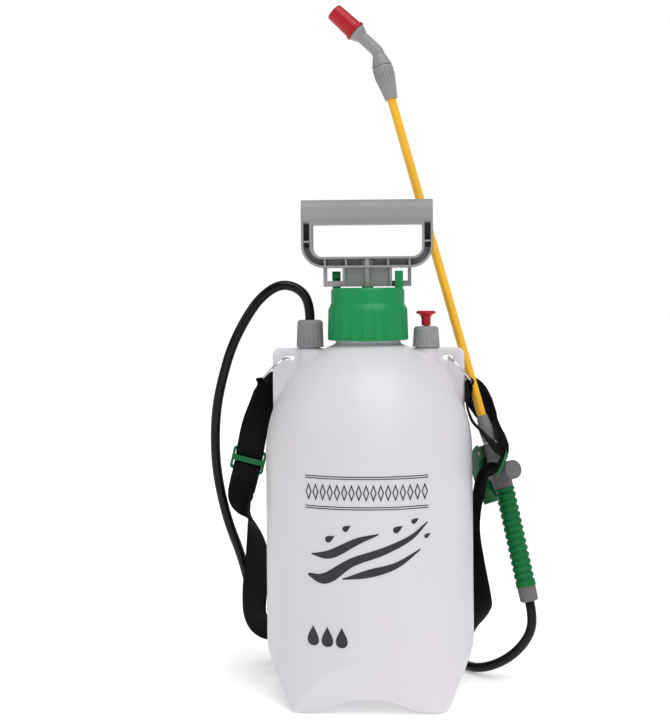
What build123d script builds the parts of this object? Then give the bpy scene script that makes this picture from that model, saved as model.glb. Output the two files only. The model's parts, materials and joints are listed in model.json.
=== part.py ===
"""Shoulder compression sprayer: tank, pump, relief valve, strap, hose, trigger gun and lance.

Millimetres. Origin on the floor at the tank's axis, +Z up, +X towards the gun, -Y the front.
"""

from build123d import *
import math
import os

# ---------------------------------------------------------------- driving dimensions

TANK_R = 90.5
WALL = 2.5
BODY_TOP = 213.0
DOME_HEIGHT = 98.4
NECK_R = 28.5
NECK_BORE_R = 26.0
NECK_TOP = 335.0
FACET_TOP = 48.0
FACET_LOW_X = 66.0
ARCH_HEIGHT = 12.5
ARCH_FLAT = 15.0
SOLE_INNER = 44.0

PORT_X = 51.0
BOSS_R = 10.7
BOSS_TOP = 302.5
SPIGOT_R = 7.5
SPIGOT_TOP = 312.0
PORT_BORE_R = 5.0

LUG_OUTER_X = 84.3
LUG_TOP = 303.0
LUG_THICKNESS = 5.0
SLOT_INNER_X = 64.5
SLOT_OUTER_X = 75.0
SLOT_LOW = 292.0
SLOT_HIGH = 296.0

THREAD_PITCH = 4.0
THREAD_DEPTH = 1.3
THREAD_START = 314.0
THREAD_TURNS = 3

COLLAR_LOW = 309.6
COLLAR_SKIRT_TOP = 336.5
COLLAR_STEP = 341.8
COLLAR_TOP = 355.4
COLLAR_R = 35.4
COLLAR_SKIRT_R = 34.7
COLLAR_CROWN_R = 32.2
COLLAR_BORE_R = 30.3
FLUTES = 20

BARREL_R = 20.0
BARREL_BORE_R = 18.0
BARREL_LOW = 95.0
BARREL_TOP = 347.5
ROD_R = 5.0
ROD_PIN_R = 1.5
PIN_HEIGHT = 366.0
PIN_HALF = 14.0
RUNNING = 0.05
CLEAR = 0.3

HOOK_X = 27.6
HOOK_WIDTH = 7.2
HANDLE_HALF = 57.6
HANDLE_TOP = 432.7
HANDLE_LOW = 356.5
GRIP_LOW = 411.6
HAND_HALF = 48.2
HAND_LOW = 382.6
HAND_HIGH = 410.8
HANDLE_DEPTH = 22.0
GRIP_DEPTH = 26.0
FLANGE = 2.0
FRAME_LOW = 372.9
LEG_LOW = 391.0
HUB_HALF = 20.5
HUB_DEPTH = 6.5

HOSE_R = 4.25
LANCE_R = 4.0
LANCE_FOOT = Vector(100.8, 35.0, 239.6)
LANCE_HEAD = Vector(21.5, 70.1, 530.1)
CAP_TIP = Vector(-31.8, 80.3, 614.4)
GRIP_TOP = Vector(120.1, 27.2, 175.4)
GRIP_END = Vector(140.5, 15.4, 77.0)

STRAP_WIDTH = 24.0
STRAP_THICK = 1.6
RING_R = 15.0
RING_WIRE_R = 1.25


# ---------------------------------------------------------------- helpers

def save(part, label):
    """Label one finished sub-part and write its STEP file."""
    part.label = label
    export_step(part, f"parts/{label}.step")


def radial_plane(angle):
    """Upright plane through the Z axis: local x points outwards at the angle, local y is up."""
    a = math.radians(angle)
    return Plane(origin=(0, 0, 0), x_dir=(math.cos(a), math.sin(a), 0), z_dir=(math.sin(a), -math.cos(a), 0))


def turned(points, plane=Plane.XZ):
    """A solid of revolution about the plane's own y axis, from an (r, height) outline."""
    with BuildPart() as body:
        with BuildSketch(plane):
            with BuildLine():
                Polyline(*points, close=True)
            make_face()
        revolve(axis=Axis(plane.origin, plane.y_dir))
    return body.part


def upright(base, direction, side):
    """Plane whose local y is the direction and whose local x lies towards the side vector."""
    y = direction.normalized()
    x = (side - y * side.dot(y)).normalized()
    return Plane(origin=base, x_dir=x, z_dir=x.cross(y))


def cross_plane(base, direction, side):
    """Plane across the direction, with its local x towards the side vector."""
    z = direction.normalized()
    x = (side - z * side.dot(z)).normalized()
    return Plane(origin=base, x_dir=x, z_dir=z)


def coil_spring(plane, radius, wire, length, turns):
    """Round-wire compression spring standing on the plane along its normal."""
    pitch = (length - 2 * wire) / turns
    with BuildPart() as spring:
        with BuildLine() as wire_line:
            Helix(pitch=pitch, height=pitch * turns, radius=radius)
        start = wire_line.line @ 0
        with BuildSketch(Plane(origin=start, z_dir=wire_line.line % 0)):
            Circle(wire)
        sweep(is_frenet=True)
    return plane.offset(wire).location * spring.part


def cord_radii(points):
    """Arc radius for each corner of a cord's route: 0.45 of the shorter run over tan(half the turn)."""
    radii = []
    for before, here, after in zip(points, points[1:], points[2:]):
        arriving = Vector(*here) - Vector(*before)
        leaving = Vector(*after) - Vector(*here)
        turn = math.radians(arriving.get_angle(leaving))
        radii.append(0.45 * min(arriving.length, leaving.length) / math.tan(turn / 2))
    return radii


def cord(points, label):
    """Round cord along straight runs joined by tangent arcs."""
    radii = cord_radii(points)
    with BuildPart() as tube:
        with BuildLine() as route:
            FilletPolyline(*points, radius=radii)
        with BuildSketch(Plane(origin=route.line @ 0, z_dir=route.line % 0)):
            Circle(HOSE_R)
        sweep()
    length = route.wire().length
    expected = math.pi * HOSE_R**2 * length
    print(f"{label}: length {length:.0f}, smallest radius {min(radii):.0f}, "
          f"volume ratio {tube.part.volume / expected:.4f}")
    print("  radii", [round(r) for r in radii])
    save(tube.part, label)


# ---------------------------------------------------------------- tank

def tank_form(inset):
    """The blown body inset by a distance: round barrel, domed top, faceted and arched base."""
    r = TANK_R - inset
    rise = DOME_HEIGHT - inset
    neck = NECK_R if inset == 0 else NECK_BORE_R
    neck_angle = math.acos(neck / r)
    dome_angles = [neck_angle * step / 6 for step in range(7)]
    dome_points = [(r * math.cos(a), BODY_TOP + rise * math.sin(a)) for a in dome_angles]
    dome_end = (-r * math.sin(neck_angle), rise * math.cos(neck_angle))
    facet_slope = math.atan2(TANK_R - FACET_LOW_X, FACET_TOP)
    facet_shift = inset / math.cos(facet_slope)
    arch_slope = math.atan2(ARCH_HEIGHT, SOLE_INNER - ARCH_FLAT)
    arch_shift = inset * math.tan(arch_slope / 2)
    sole_shift = inset / math.sin(arch_slope)
    with BuildPart() as form:
        with BuildSketch(Plane.XZ):
            with BuildLine():
                dome = Spline(*dome_points, tangents=[(0, 1), dome_end])
                Polyline(dome @ 1, (neck, NECK_TOP), (0, NECK_TOP), (0, inset), (r, inset), dome @ 0)
            make_face()
        revolve(axis=Axis.Z)
        for angle in (0, 90, 180, 270):
            with BuildSketch(radial_plane(angle)):
                with BuildLine():
                    Polyline((TANK_R - facet_shift, FACET_TOP), (FACET_LOW_X - facet_shift, 0),
                             (FACET_LOW_X - facet_shift, -10), (120, -10), (120, FACET_TOP), close=True)
                make_face()
            extrude(amount=120, both=True, mode=Mode.SUBTRACT)
        for angle in (0, 90):
            with BuildSketch(radial_plane(angle)):
                with BuildLine():
                    Polyline((-SOLE_INNER - sole_shift, 0), (-ARCH_FLAT - arch_shift, ARCH_HEIGHT + inset),
                             (ARCH_FLAT + arch_shift, ARCH_HEIGHT + inset), (SOLE_INNER + sole_shift, 0),
                             (SOLE_INNER, -10), (-SOLE_INNER, -10), close=True)
                make_face()
            extrude(amount=120, both=True, mode=Mode.SUBTRACT)
    return form.part


def make_tank():
    with BuildPart() as tank:
        add(tank_form(0))
        for side in (-1, 1):
            with BuildSketch(Plane.XY.offset(270)):
                with Locations((side * PORT_X, 0)):
                    Circle(BOSS_R)
            extrude(amount=BOSS_TOP - 270)
            with BuildSketch(Plane.XY.offset(BOSS_TOP)):
                with Locations((side * PORT_X, 0)):
                    Circle(SPIGOT_R)
            extrude(amount=SPIGOT_TOP - BOSS_TOP)
            with BuildSketch(Plane.XZ):
                with BuildLine():
                    Polyline((side * 60, 250), (side * 60, LUG_TOP), (side * (LUG_OUTER_X - 4.4), LUG_TOP),
                             (side * LUG_OUTER_X, LUG_TOP - 4.4), (side * LUG_OUTER_X, 250), close=True)
                make_face()
            extrude(amount=LUG_THICKNESS / 2, both=True)
        for turn in range(THREAD_TURNS):
            height = THREAD_START + turn * THREAD_PITCH
            add(turned([(NECK_R - 0.5, height), (NECK_R, height), (NECK_R + THREAD_DEPTH, height + 0.9),
                        (NECK_R + THREAD_DEPTH, height + 1.4), (NECK_R, height + 2.3),
                        (NECK_R - 0.5, height + 2.3)]))
        add(tank_form(WALL), mode=Mode.SUBTRACT)
        for side in (-1, 1):
            with BuildSketch(Plane.XY.offset(280)):
                with Locations((side * PORT_X, 0)):
                    Circle(PORT_BORE_R)
            extrude(amount=SPIGOT_TOP - 279, mode=Mode.SUBTRACT)
            with BuildSketch(Plane.XZ):
                with Locations((side * (SLOT_INNER_X + SLOT_OUTER_X) / 2, (SLOT_LOW + SLOT_HIGH) / 2)):
                    RectangleRounded(SLOT_OUTER_X - SLOT_INNER_X, SLOT_HIGH - SLOT_LOW, 1.2)
            extrude(amount=LUG_THICKNESS, both=True, mode=Mode.SUBTRACT)
        with BuildSketch(Plane.XY.offset(304)):
            with Locations((PORT_X, 0)):
                Circle(6.3)
        extrude(amount=SPIGOT_TOP - 303, mode=Mode.SUBTRACT)
    save(tank.part, "tank")


# ---------------------------------------------------------------- outlet and dip tube

def make_outlet():
    port = Plane(origin=(-PORT_X, 0, 0), x_dir=(1, 0, 0), z_dir=(0, -1, 0))
    save(turned([(4.1, SPIGOT_TOP), (SPIGOT_R, SPIGOT_TOP), (SPIGOT_R, 313.5), (4.1, 313.5)], port),
         "outlet_gasket")
    save(turned([(1.8, 298), (3.2, 298), (3.2, 313.5), (SPIGOT_R, 313.5), (SPIGOT_R, 315.5), (3.2, 315.5),
                 (3.2, 327.6), (1.8, 327.6)], port), "hose_barb")
    save(turned([(3.2, 26), (4.0, 26), (4.0, 311), (3.2, 311)], port), "dip_tube")
    save(turned([(0, 17), (6.5, 17), (6.5, 30), (4.0, 30), (4.0, 26), (3.2, 26), (3.2, 22), (0, 22)], port),
         "dip_strainer")
    save(fluted_nut(port, 303.6, 327.6, 11.9, 11.2, 315.5, 3.2), "hose_nut")


def fluted_nut(port, low, high, low_r, high_r, shoulder, bore):
    """Cap nut on a port's upright plane: vertical flutes, rounded crown and a stepped bore."""
    axis = Axis(port.origin, port.y_dir)
    with BuildPart() as nut:
        with BuildSketch(port):
            with BuildLine():
                Polyline((0, low), (low_r, low), (high_r, high - 3))
                Polyline((0, low), (0, high), (high_r - 3, high))
                ThreePointArc((high_r, high - 3), (high_r - 0.9, high - 0.9), (high_r - 3, high))
            make_face()
        revolve(axis=axis)
        with BuildSketch(Plane(origin=port.origin + Vector(0, 0, low + 1.5), z_dir=(0, 0, 1))):
            with PolarLocations(low_r + 0.5, 16):
                Circle(1.3)
        extrude(amount=high - low - 5, mode=Mode.SUBTRACT)
        with BuildSketch(port):
            with BuildLine():
                Polyline((0, low), (SPIGOT_R + RUNNING, low), (SPIGOT_R + RUNNING, shoulder), (bore, shoulder),
                         (bore, high), (0, high), close=True)
            make_face()
        revolve(axis=axis, mode=Mode.SUBTRACT)
    return nut.part


# ---------------------------------------------------------------- relief valve

def make_relief_valve():
    port = Plane(origin=(PORT_X, 0, 0), x_dir=(1, 0, 0), z_dir=(0, -1, 0))
    save(turned([(2.2, 304), (6.2, 304), (6.2, 305.5), (2.2, 305.5)], port), "relief_seat")
    save(turned([(0, 305.5), (4.2, 305.5), (4.2, 307), (0, 307)], port), "relief_seal")
    stem = [(0, 307), (5.0, 307), (5.0, 308.5), (2.0, 308.5), (2.0, 331), (0, 331)]
    save(turned(stem, port), "relief_stem")
    save(coil_spring(Plane.XY.offset(308.6).move(Location((PORT_X, 0, 0))), 3.4, 0.45, 11.0, 5),
         "relief_spring")
    save(fluted_nut(port, 303.3, 321.3, 11.9, 10.8, 319.8, 2.0 + RUNNING), "relief_nut")
    with BuildPart() as knob:
        with BuildSketch(port):
            with BuildLine():
                Polyline((2.0, 321.9), (4.0, 321.9), (4.0, 327))
                ThreePointArc((4.0, 327), (5.2, 330.6), (8.5, 332.4))
                Polyline((8.5, 332.4), (8.5, 333.8), (7.5, 334.8), (0, 334.8), (0, 331), (2.0, 331), (2.0, 321.9))
            make_face()
        revolve(axis=Axis(port.origin, port.y_dir))
    save(knob.part, "relief_knob")


# ---------------------------------------------------------------- pump

def make_pump_collar():
    with BuildPart() as collar:
        with BuildSketch(Plane.XZ):
            with BuildLine():
                Polyline((0, COLLAR_LOW), (COLLAR_R - 0.8, COLLAR_LOW), (COLLAR_R, COLLAR_LOW + 0.8),
                         (COLLAR_SKIRT_R, COLLAR_SKIRT_TOP), (COLLAR_CROWN_R, COLLAR_STEP),
                         (COLLAR_CROWN_R, COLLAR_TOP - 2), (COLLAR_CROWN_R - 2, COLLAR_TOP),
                         (0, COLLAR_TOP), close=True)
            make_face()
        revolve(axis=Axis.Z)
        with BuildSketch(Plane.XY.offset(COLLAR_LOW + 1.6)):
            with PolarLocations(COLLAR_R + 1.5, FLUTES, start_angle=180 / FLUTES):
                Circle(2.8)
        extrude(amount=COLLAR_STEP - COLLAR_LOW - 3, mode=Mode.SUBTRACT)
        with BuildSketch(Plane.XZ):
            with BuildLine():
                Polyline((0, COLLAR_LOW), (COLLAR_BORE_R, COLLAR_LOW), (COLLAR_BORE_R, 340),
                         (BARREL_R + RUNNING, 340), (BARREL_R + RUNNING, BARREL_TOP), (7, BARREL_TOP),
                         (7, COLLAR_TOP), (0, COLLAR_TOP), close=True)
            make_face()
        revolve(axis=Axis.Z, mode=Mode.SUBTRACT)
        for side in (-1, 1):
            with BuildSketch(Plane.YZ.offset(side * HOOK_X)):
                with BuildLine():
                    Polyline((-side * 4.5, COLLAR_TOP), (-side * 4.5, 362.4), (-side * 0.4, 363.6),
                             (-side * 0.4, 367), (-side * 3.5, 370), (-side * 7.5, 370),
                             (-side * 7.5, COLLAR_TOP), close=True)
                make_face()
            extrude(amount=HOOK_WIDTH / 2, both=True)
    save(collar.part, "pump_collar")


def make_pump_barrel():
    with BuildPart() as barrel:
        add(turned([(0, BARREL_LOW), (BARREL_R, BARREL_LOW), (BARREL_R, 337), (28, 337), (28, 340),
                    (BARREL_R, 340), (BARREL_R, BARREL_TOP), (BARREL_BORE_R, BARREL_TOP),
                    (BARREL_BORE_R, BARREL_LOW + 3), (0, BARREL_LOW + 3)]))
        with BuildSketch(Plane.XY.offset(BARREL_LOW)):
            Circle(2)
            with PolarLocations(8, 6):
                Circle(2)
        extrude(amount=3, mode=Mode.SUBTRACT)
    save(barrel.part, "pump_barrel")
    save(turned([(20.4, NECK_TOP), (28, NECK_TOP), (28, 337), (20.4, 337)]), "neck_gasket")
    save(turned([(0, 92.5), (12, 93.6), (12, BARREL_LOW), (2, BARREL_LOW), (2, 98), (3.4, 98), (2.4, 101),
                 (0, 101)]), "barrel_check_valve")
    save(turned([(ROD_R + RUNNING, 345), (12, 345), (12, BARREL_TOP), (7, BARREL_TOP), (7, COLLAR_TOP),
                 (ROD_R + RUNNING, COLLAR_TOP)]), "rod_guide")


def make_piston():
    with BuildPart() as rod:
        add(turned([(0, 104), (ROD_R, 104), (ROD_R, 378), (0, 378)]))
        with BuildSketch(Plane.YZ):
            with Locations((0, PIN_HEIGHT)):
                Circle(ROD_PIN_R)
        extrude(amount=ROD_R + 1, both=True, mode=Mode.SUBTRACT)
    save(rod.part, "pump_rod")
    save(turned([(ROD_R, 108), (17.2, 108), (17.2, 112), (9, 112), (9, 118), (17.2, 118), (17.2, 122),
                 (ROD_R, 122)]), "piston")
    save(turned([(9 + RUNNING, 112.2), (17.6, 112.2), (17.92, 113.5), (17.92, 116.5), (17.6, 117.8),
                 (9 + RUNNING, 117.8)]), "piston_ring")
    with BuildPart() as nut:
        with BuildSketch(Plane.XY.offset(104)):
            RegularPolygon(7.5, 6)
            Circle(ROD_R, mode=Mode.SUBTRACT)
        extrude(amount=4)
    save(nut.part, "piston_nut")


def frame_outline(plane, half, low, high, corner_low, corner_high):
    """Rounded outline on a plane: local x is sideways, local y is the height."""
    with BuildSketch(plane) as outline:
        with BuildLine():
            FilletPolyline((-half, low), (half, low), (half, high), (-half, high), close=True,
                           radius=[corner_low, corner_low, corner_high, corner_high])
        make_face()
    return outline.sketch


def make_handle():
    """Cross handle: rounded grip bar, channel-section legs, and two feet that turn under the hooks."""
    recess = HANDLE_DEPTH / 2 - 1.5
    with BuildPart() as handle:
        extrude(frame_outline(Plane.XZ, HANDLE_HALF, FRAME_LOW, HANDLE_TOP - 6, 20, 6),
                amount=HANDLE_DEPTH / 2, both=True)
        for front in (-1, 1):
            face = Plane.XZ.offset(front * HANDLE_DEPTH / 2)
            outer = frame_outline(face, HANDLE_HALF - FLANGE, FRAME_LOW + FLANGE, GRIP_LOW + 4, 18, 3)
            inner = frame_outline(face, HAND_HALF + FLANGE, HAND_LOW - FLANGE, GRIP_LOW + 5, 11, 1)
            extrude(outer - inner, amount=-front * recess, mode=Mode.SUBTRACT)
        for side in (-1, 1):
            leg = (side * (HANDLE_HALF + HAND_HALF) / 2, (LEG_LOW + GRIP_LOW + 4) / 2)
            with BuildSketch(Plane.XZ.offset(HANDLE_DEPTH / 2)):
                with Locations(leg):
                    Rectangle(HANDLE_HALF - HAND_HALF - 2 * FLANGE, GRIP_LOW + 4 - LEG_LOW)
            extrude(amount=-HANDLE_DEPTH, mode=Mode.SUBTRACT)
            with BuildSketch(Plane.XZ.offset(-HANDLE_DEPTH / 2)):
                with Locations(leg):
                    Rectangle(HANDLE_HALF - HAND_HALF - FLANGE, GRIP_LOW + 4 - LEG_LOW)
            extrude(amount=FLANGE)
        extrude(frame_outline(Plane.XZ, HAND_HALF, HAND_LOW, HAND_HIGH, 9, 1), amount=HANDLE_DEPTH,
                both=True, mode=Mode.SUBTRACT)
        for x, width in ((-37, 1.6), (-18.5, 1.6), (0, 3.5), (18.5, 1.6), (37, 1.6)):
            with BuildSketch(Plane.XZ):
                with Locations((x, (FRAME_LOW + HAND_LOW) / 2)):
                    Rectangle(width, HAND_LOW - FRAME_LOW)
            extrude(amount=HANDLE_DEPTH / 2 - 0.5, both=True)
        for side in (-1, 1):
            with BuildSketch(Plane.XZ):
                with Locations((side * (HANDLE_HALF + HAND_HALF) / 2, 396)):
                    Rectangle(HANDLE_HALF - HAND_HALF, 1.6)
            extrude(amount=HANDLE_DEPTH / 2 - 0.5, both=True)
        with BuildSketch(Plane.YZ):
            with BuildLine():
                FilletPolyline((-GRIP_DEPTH / 2, GRIP_LOW), (GRIP_DEPTH / 2, GRIP_LOW),
                               (GRIP_DEPTH / 2, HANDLE_TOP), (-GRIP_DEPTH / 2, HANDLE_TOP), close=True,
                               radius=[7, 7, 9.5, 9.5])
            make_face()
        extrude(amount=HANDLE_HALF, both=True)
        with BuildSketch(Plane.XZ):
            with Locations((0, (HANDLE_LOW + FRAME_LOW) / 2)):
                Rectangle(2 * HUB_HALF + 2, FRAME_LOW - HANDLE_LOW)
        extrude(amount=1.5, both=True)
        for x, width in ((-HUB_HALF, 2), (0, 3.5), (HUB_HALF, 2)):
            with BuildSketch(Plane.XZ):
                with Locations((x, (HANDLE_LOW + FRAME_LOW) / 2)):
                    Rectangle(width, FRAME_LOW - HANDLE_LOW)
            extrude(amount=10, both=True)
        with BuildSketch(Plane.XZ):
            with Locations((0, (HANDLE_LOW + FRAME_LOW) / 2)):
                Rectangle(2 * HUB_HALF, FRAME_LOW - HANDLE_LOW)
        extrude(amount=HUB_DEPTH, both=True)
        with BuildSketch(Plane.XY.offset(FRAME_LOW)):
            Circle(7)
        extrude(amount=380 - FRAME_LOW)
        for side in (-1, 1):
            with BuildSketch(Plane.XZ.offset(-side * 4.6)):
                Polygon((side * 19.5, HANDLE_LOW), (side * 38.4, HANDLE_LOW), (side * 38.4, FRAME_LOW + 1),
                        (side * 35.3, FRAME_LOW + 1), (side * 35.3, 361.5), (side * 21.5, 361.5),
                        (side * 21.5, FRAME_LOW), (side * 19.5, FRAME_LOW), align=None)
            extrude(amount=3.4, both=True)
        with BuildSketch(Plane.XY.offset(HANDLE_LOW)):
            Circle(ROD_R)
        extrude(amount=378 - HANDLE_LOW, mode=Mode.SUBTRACT)
        with BuildSketch(Plane.YZ.offset(-PIN_HALF)):
            with Locations((0, PIN_HEIGHT)):
                Circle(ROD_PIN_R)
        extrude(amount=PIN_HALF + HUB_HALF + 2, mode=Mode.SUBTRACT)
    save(handle.part, "pump_handle")
    with BuildPart() as pin:
        with BuildSketch(Plane.YZ):
            with Locations((0, PIN_HEIGHT)):
                Circle(ROD_PIN_R)
        extrude(amount=PIN_HALF, both=True)
    save(pin.part, "rod_pin")


# ---------------------------------------------------------------- lance and nozzle

LANCE_AXIS = (LANCE_HEAD - LANCE_FOOT).normalized()
LANCE_LENGTH = (LANCE_HEAD - LANCE_FOOT).length
KNOB_SIDE = Vector(0.5, -0.87, 0)
LANCE_PLANE = upright(LANCE_FOOT, LANCE_AXIS, KNOB_SIDE)
ELBOW_CORNER = LANCE_FOOT + LANCE_AXIS * 350.3
NOZZLE_AXIS = (CAP_TIP - ELBOW_CORNER).normalized()
CAP_LENGTH = 28.6
CORE_END = 23.6
CAP_BASE = CAP_TIP - NOZZLE_AXIS * CAP_LENGTH
NUT_LENGTH = 32.0
PASSAGE_R = 2.0


def make_lance():
    top = LANCE_LENGTH
    wall = [(2.6, -25), (LANCE_R, -25), (LANCE_R, top + 10), (2.6, top + 10)]
    save(turned(wall, LANCE_PLANE), "lance_tube")
    with BuildPart() as nut:
        add(turned([(LANCE_R, top), (5.8, top), (9.4, top + 22), (9.7, top + NUT_LENGTH - 2),
                    (8.8, top + NUT_LENGTH), (6.0, top + NUT_LENGTH), (6.0, top + 12), (LANCE_R, top + 10)],
                   LANCE_PLANE))
        low = LANCE_PLANE.origin + LANCE_AXIS * (top + 9) + LANCE_PLANE.x_dir * 8.0
        high = LANCE_PLANE.origin + LANCE_AXIS * (top + NUT_LENGTH - 3) + LANCE_PLANE.x_dir * 10.2
        flute = Solid.make_cylinder(0.8, (high - low).length, Plane(origin=low, z_dir=high - low))
        for turn in range(18):
            add(flute.rotate(Axis(LANCE_PLANE.origin, LANCE_AXIS), turn * 20), mode=Mode.SUBTRACT)
    save(nut.part, "lance_nut_upper")
    save(turned([(LANCE_R, -25), (5.6, -25), (6.4, -16), (6.4, -11), (4.8, 0), (LANCE_R, 0)], LANCE_PLANE),
         "lance_nut_lower")


def make_elbow():
    """Moulded elbow: a spigot in the upper nut, a flared shoulder and a bend towards the nozzle."""
    top = LANCE_LENGTH
    shoulder = top + NUT_LENGTH + CLEAR
    corner = ELBOW_CORNER
    spigot_base = LANCE_FOOT + LANCE_AXIS * (top + 12.5)
    nose = CAP_BASE - NOZZLE_AXIS * 2
    with BuildPart() as elbow:
        with BuildLine() as bend:
            FilletPolyline(spigot_base, corner, nose, radius=12)
        with BuildSketch(Plane(origin=spigot_base, z_dir=bend.line % 0)):
            Circle(5.7)
        sweep()
        add(turned([(0, shoulder), (9.3, shoulder), (9.3, shoulder + 1.2), (6.0, shoulder + 11),
                    (0, shoulder + 11)], LANCE_PLANE))
        nose_plane = upright(CAP_BASE, NOZZLE_AXIS, LANCE_AXIS)
        add(turned([(0, -8), (5.8, -8), (8.3, -3), (8.6, -0.5), (5.0, -0.5), (5.0, 7), (4.3, 7), (4.3, 8.6),
                    (5.0, 8.6), (5.0, 12), (0, 12)], nose_plane))
        with BuildLine() as bore:
            FilletPolyline(spigot_base, corner, nose + NOZZLE_AXIS * 14, radius=12)
        with BuildSketch(Plane(origin=spigot_base, z_dir=bore.line % 0)):
            Circle(PASSAGE_R)
        sweep(mode=Mode.SUBTRACT)
    save(elbow.part, "nozzle_elbow")


def make_nozzle():
    plane = upright(CAP_BASE, NOZZLE_AXIS, LANCE_AXIS)
    save(turned([(0.8, 12.2), (4.6, 12.2), (4.6, 16), (2.4, CORE_END), (0.8, CORE_END)], plane), "spray_core")
    save(turned([(5.0 + RUNNING, 0), (9.9, 0), (10.2, 0.4), (10.2, 2), (9.1, 3.2), (8.2, CAP_LENGTH - 0.7),
                 (7.4, CAP_LENGTH), (0.7, CAP_LENGTH), (0.7, CORE_END + CLEAR),
                 (5.0 + RUNNING, CORE_END + CLEAR)], plane), "nozzle_cap")
    with BuildPart() as seal:
        with BuildSketch(plane):
            with Locations((4.66, 7.8)):
                Circle(0.34)
        revolve(axis=Axis(plane.origin, plane.y_dir))
    save(seal.part, "nozzle_seal")


# ---------------------------------------------------------------- trigger gun

GRIP_AXIS = (GRIP_END - GRIP_TOP).normalized()
GRIP_LENGTH = (GRIP_END - GRIP_TOP).length
END_NUT = 13.5
VALVE_HEIGHT = -53.0
KNOB_FACE = 27.0
PIVOT = (-9.0, -32.0)
PIN_R = 1.6
VALVE_CENTRE = LANCE_FOOT + LANCE_AXIS * VALVE_HEIGHT
VALVE_AXIS = LANCE_PLANE.x_dir


def valve_turned(points):
    """A solid of revolution about the valve's cross axis; heights count towards the knurled cap."""
    return turned(points, upright(VALVE_CENTRE, VALVE_AXIS, LANCE_AXIS))


def make_gun_body():
    """Valve head on the lance's axis, cross bore for the valve, and the inner tube of the grip."""
    with BuildPart() as body:
        add(turned([(0, -66), (7.6, -66), (8.0, -60), (8.0, -44), (6.2, -40), (5.6, -25.2), (0, -25.2)],
                   LANCE_PLANE))
        add(valve_turned([(0, -10), (6.5, -10), (6.5, 0), (7.0, 16), (0, 16)]))
        grip_plane = cross_plane(GRIP_TOP - GRIP_AXIS * 14, GRIP_AXIS, KNOB_SIDE)
        with BuildSketch(grip_plane):
            Circle(6.0)
        extrude(amount=14 + GRIP_LENGTH - 1)
        with BuildSketch(cross_plane(GRIP_TOP - GRIP_AXIS * 10, GRIP_AXIS, KNOB_SIDE)):
            Circle(8.2)
        extrude(amount=10)
        with BuildSketch(LANCE_PLANE):
            with Locations(PIVOT):
                Circle(4.0)
            Polygon((-9, -28), (-5, -25.5), (0, -30), (0, -42), (-9, -36), align=None)
        extrude(amount=4, both=True)
        with BuildSketch(LANCE_PLANE):
            with Locations(PIVOT):
                Circle(PIN_R)
        extrude(amount=10, both=True, mode=Mode.SUBTRACT)
        add(valve_turned([(0, -12), (2.0 + RUNNING, -12), (2.0 + RUNNING, 7), (4.8, 7), (4.8, 16.1),
                          (0, 16.1)]), mode=Mode.SUBTRACT)
        with BuildSketch(cross_plane(GRIP_TOP - GRIP_AXIS * 22, GRIP_AXIS, KNOB_SIDE)):
            Circle(PASSAGE_R)
        extrude(amount=22 + GRIP_LENGTH, mode=Mode.SUBTRACT)
        with BuildSketch(cross_plane(VALVE_CENTRE, LANCE_AXIS, KNOB_SIDE)):
            Circle(PASSAGE_R)
        extrude(amount=30, mode=Mode.SUBTRACT)
    save(body.part, "gun_body")


def make_grip():
    top = upright(GRIP_TOP, GRIP_AXIS, KNOB_SIDE)
    length = GRIP_LENGTH - END_NUT
    ribs = 14
    pitch = (length - 4) / ribs
    outline = [(6.0, 0), (8.9, 0), (8.9, 2)]
    for rib in range(ribs):
        start = 2 + rib * pitch
        outline += [(7.7, start + 0.8), (7.7, start + 2.2), (8.9, start + 3.2), (8.9, start + pitch)]
    outline += [(8.9, length), (6.0, length)]
    save(turned(outline, top), "grip_sleeve")
    with BuildPart() as nut:
        add(turned([(6.0, length), (8.3, length), (8.0, GRIP_LENGTH - 1), (7.0, GRIP_LENGTH),
                    (1.9, GRIP_LENGTH), (1.9, GRIP_LENGTH - 1), (6.0, GRIP_LENGTH - 1)], top))
        with BuildSketch(cross_plane(GRIP_TOP + GRIP_AXIS * (length + 1.5), GRIP_AXIS, KNOB_SIDE)):
            with PolarLocations(9.0, 16):
                Circle(1.1)
        extrude(amount=END_NUT - 4, mode=Mode.SUBTRACT)
    save(nut.part, "grip_nut")


def make_valve():
    save(valve_turned([(0, -16), (2.0, -16), (2.0, 8.5), (3.2, 8.5), (3.2, 11.8), (1.2, 11.8), (1.2, 17),
                       (0, 17)]), "valve_stem")
    save(valve_turned([(2.0, 7.1), (4.2, 7.1), (4.2, 8.5), (2.0, 8.5)]), "valve_seal")
    spring_plane = cross_plane(VALVE_CENTRE + VALVE_AXIS * 11.9, VALVE_AXIS, LANCE_AXIS)
    save(coil_spring(spring_plane, 2.4, 0.4, 11.6, 6), "valve_spring")
    with BuildPart() as cap:
        add(valve_turned([(0, 16), (6.2, 16), (6.2, 19), (8.4, 19), (8.4, KNOB_FACE - 0.6), (7.8, KNOB_FACE),
                          (0, KNOB_FACE)]))
        add(valve_turned([(0, 15), (4.0, 15), (4.0, 23.6), (0, 23.6)]), mode=Mode.SUBTRACT)
        with BuildSketch(cross_plane(VALVE_CENTRE + VALVE_AXIS * 19, VALVE_AXIS, LANCE_AXIS)):
            with PolarLocations(8.7, 28):
                Circle(0.55)
        extrude(amount=KNOB_FACE - 20, mode=Mode.SUBTRACT)
    save(cap.part, "valve_cap")


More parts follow.
